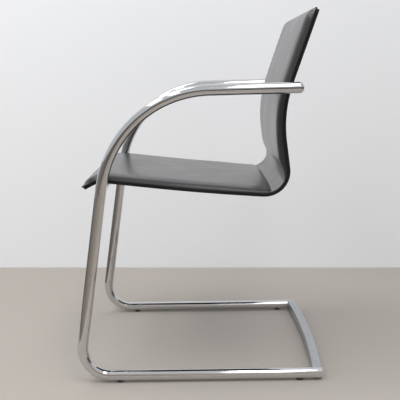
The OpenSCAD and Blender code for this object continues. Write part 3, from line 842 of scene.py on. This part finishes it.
# %% Weld beads
leg_radius, leg_from_middle, leg_lean = 12.5 * MM, 267 * MM, math.radians(8.5)
low_corner, high_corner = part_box("seat_cross_tube")
tube_middle = (low_corner + high_corner) / 2
bead_ring, bead_thick = (high_corner.z - low_corner.z) / 2 + 0.5 * MM, 1.3 * MM
sunk_in_leg, ripples, ripple_depth = 0.3 * MM, 24, 0.12
square_to_ring = (Matrix.Translation((0, bead_ring, 0))
                  @ Matrix.Rotation(math.radians(90), 4, "X")
                  @ Matrix.Rotation(math.radians(90), 4, "Y"))
beads = bmesh.new()
for side_sign in (-1, 1):
    section = bmesh.ops.create_circle(beads, segments=8, radius=bead_thick,
                                      matrix=square_to_ring)["verts"]
    outline = list({e for v in section for e in v.link_edges})
    bmesh.ops.spin(beads, geom=section + outline, cent=(0, 0, 0), axis=(1, 0, 0), dvec=(0, 0, 0),
                   angle=math.radians(360), steps=72, use_merge=True)
    for v in [v for v in beads.verts if not v.tag]:
        v.tag = True
        angle = math.atan2(v.co.z, v.co.y)
        ring_point = Vector((0, math.cos(angle) * bead_ring, math.sin(angle) * bead_ring))
        v.co = ring_point + (v.co - ring_point) * (1 + ripple_depth * math.sin(ripples * angle))
        off_leg = v.co.z * math.sin(leg_lean) - v.co.y * math.cos(leg_lean)
        reach = leg_from_middle - math.sqrt(leg_radius ** 2 - off_leg ** 2) - sunk_in_leg
        at = (side_sign * (reach - v.co.x), tube_middle.y + v.co.y, tube_middle.z + v.co.z)
        v.co = Vector(at)
bmesh.ops.recalc_face_normals(beads, faces=beads.faces[:])
weld_beads = as_piece(beads, "cross_tube_welds", chrome, "tube_chrome")
print(weld_beads.name, "reach", [round(1000 * abs(v), 1) for v in weld_beads.bound_box[0]])

# %% [markdown]
# ## What only the camera and the mirrors see
# Chrome shows the room, so the room needs care. Light Path tells for each ray whether the camera,
# a reflection or a transparent thing sent it. With it the wall and the sky may look paler than
# the light they throw on the chair, which keeps the light itself plain. On the wall this is a
# painted glow that the camera and reflections see.

# %% Rays that look at things
def seen_rays(tree):
    """1 for rays of the camera, of mirrors and through glass, 0 for the light's own bounces."""
    path = add(tree, "LightPath").outputs
    mirrored_or_through = maths(tree, "ADD", path["Is Glossy Ray"], path["Is Transmission Ray"])
    return maths(tree, "ADD", path["Is Camera Ray"], mirrored_or_through, clamp=True)


# %% [markdown]
# ## Floor and wall
# A floor and one wall are enough. Both are single sheets whose backs are see-through, so the
# chair can be looked at from behind and from below. The wall has a painted glow, brighter towards
# its top left as if a window lit it there, and stands not quite square to the chair.

# %% Floor and wall
def plain(name, colour, glow=None):
    """A matte finish whose back side is clear; glow is the strength of a painted light, low down
    and high up.
    """
    material, tree, shader, place = finish(name)
    shader.inputs["Base Color"].default_value = (*colour, 1)
    shader.inputs["Roughness"].default_value = 0.75
    shader.inputs["Specular IOR Level"].default_value = 0.2
    if glow:
        # painted light: for the camera and reflections the wall glows, more high up and towards the
        # left
        at = add(tree, "SeparateXYZ", {"Vector": place}).outputs
        upwards = between(tree, at["Z"], 0, 1.3, *glow)
        leftwards = between(tree, at["Y"], -0.9, 0.7, 1.15, 0.8)
        shader.inputs["Emission Color"].default_value = (0.93, 0.97, 1, 1)
        glowing = maths(tree, "MULTIPLY", upwards, leftwards)
        strength = maths(tree, "MULTIPLY", glowing, seen_rays(tree))
        tree.links.new(strength, shader.inputs["Emission Strength"])
    behind = add(tree, "NewGeometry").outputs["Backfacing"]
    clear = add(tree, "BsdfTransparent").outputs[0]
    pick = tree.nodes.new("ShaderNodeMixShader")
    for socket, source in enumerate((behind, shader.outputs[0], clear)):
        tree.links.new(source, pick.inputs[socket])
    tree.links.new(pick.outputs[0], tree.nodes["Material Output"].inputs["Surface"])
    return material


def sheet(name, matrix, material):
    """A square of 12 metres for the room round the chair."""
    bm = bmesh.new()
    bmesh.ops.create_grid(bm, x_segments=1, y_segments=1, size=6, matrix=matrix)
    mesh = bpy.data.meshes.new(name)
    bm.to_mesh(mesh)
    bm.free()
    mesh.materials.append(material)
    piece = bpy.data.objects.new(name, mesh)
    scene.collection.objects.link(piece)
    return piece


wall_distance, wall_angle = 0.773, math.radians(-3.06)
wall_place = (Matrix.Translation((-wall_distance, 0, 0)) @ Matrix.Rotation(wall_angle, 4, "Z")
              @ Matrix.Rotation(math.radians(90), 4, "Y"))
floor = sheet("floor", Matrix.Identity(4), plain("floor_pale", (0.56, 0.515, 0.47)))
wall = sheet("wall", wall_place, plain("wall_pale", (0.85, 0.855, 0.87), glow=(0.1, 0.19)))
print("stage:", floor.name, wall.name)

# %% [markdown]
# ## Light
# The light is soft and plain. An even sky does most of it, and three long lamps under the ceiling
# draw the bright lines on top of the tubes. Their strengths are set as brightness, which the
# size of a lamp doesn't change. A fourth, smaller lamp washes the wall from the upper left.

# %% Sky
world = bpy.data.worlds.new("pale_room")
world.use_nodes = True
scene.world = world
sky = world.node_tree.nodes["Background"]
sky.inputs["Color"].default_value = (0.965, 0.98, 1, 1)
sky_strength = between(world.node_tree, seen_rays(world.node_tree), 0, 1, 0.7, 0.65)
world.node_tree.links.new(sky_strength, sky.inputs["Strength"])
print("sky:", world.name)


# %% Lamps
def lamp(name, brightness, wide, tall, at, towards):
    """A flat lamp; its power follows from its brightness and its size."""
    data = bpy.data.lights.new(name, "AREA")
    data.energy = brightness * math.pi * wide * tall
    data.shape = "RECTANGLE"
    data.size, data.size_y = wide, tall
    light = bpy.data.objects.new(name, data)
    scene.collection.objects.link(light)
    light.location = at
    light.rotation_mode = "QUATERNION"
    light.rotation_quaternion = (Vector(towards) - Vector(at)).to_track_quat("-Z", "Y")
    print(name, "gives", round(data.energy, 1), "W")


lamp("lamp_rear", 3.2, 3.2, 0.5, (2.0, 0.42, 2.8), (2.0, 0.42, 0))
lamp("lamp_middle", 3.8, 2.6, 0.26, (1.6, -0.86, 2.8), (1.6, -0.86, 0))
lamp("lamp_front", 3.8, 2.6, 0.4, (1.6, -1.5, 2.8), (1.6, -1.5, 0))
lamp("wall_light", 4.0, 1.4, 0.5, (-0.1, -1.0, 2.7), (-wall_distance, -0.7, 1.0))

# %% [markdown]
# ## Painted reflections for the chrome
# Chrome in an empty pale room looks like plastic. Photographers stand dark boards round it. Here
# strips bent round the chair that only reflections see paint these reflections instead: painted
# shade and light, with no shadow of their own. The high one is painted darkest towards the camera.
# The low one is painted dark in front of the chair and pales towards the camera, a painted
# reflection of a floor in the light.

# %% Boards
def painted_reflection_strip(name, radius, low, high, first, last, in_front, by_camera):
    """A strip from azimuth first to last, seen only in reflections; its painted tone of light and
    shade changes from -90 degrees to +11.
    """
    bm = bmesh.new()
    turn = Matrix.Rotation(math.radians(first), 4, "Z")
    ends = [bm.verts.new(turn @ Vector((radius, 0, z))) for z in (low, high)]
    bmesh.ops.spin(bm, geom=[bm.edges.new(ends), *ends], cent=(0, 0, 0), axis=(0, 0, 1),
                   dvec=(0, 0, 0), angle=math.radians(last - first), steps=48, use_merge=False)
    mesh = bpy.data.meshes.new(name)
    bm.to_mesh(mesh)
    bm.free()
    material, tree, shader, place = finish(name)
    # painted light and shade: the strip's tone runs from in_front to by_camera round the chair
    around = add(tree, "TexGradient", {"Vector": place}, gradient_type="RADIAL").outputs["Fac"]
    towards_camera = between(tree, around, 0.25, 0.53, 0, 1)
    colour = tone(tree, towards_camera, in_front, by_camera)
    tree.links.new(colour, shader.inputs["Base Color"])
    shader.inputs["Roughness"].default_value = 0.9
    mesh.materials.append(material)
    piece = bpy.data.objects.new(name, mesh)
    scene.collection.objects.link(piece)
    piece.visible_camera = piece.visible_diffuse = piece.visible_shadow = False
    print(name, "stands", radius, "m away")


painted_reflection_strip("painted_reflection_high", 2.35, 0.0, 1.0, -110, 110, (0.36, 0.34, 0.32), (0.15, 0.15, 0.15))
painted_reflection_strip("painted_reflection_low", 0.82, 0.0, 0.4, -150, 30, (0.25, 0.235, 0.22), (0.82, 0.72, 0.62))

# %% [markdown]
# ## Plain colours
# The picture shows the colours as they are, with no film curve laid over them.

# %% Plain colours
scene.view_settings.view_transform = "Standard"
print("view:", scene.view_settings.view_transform)
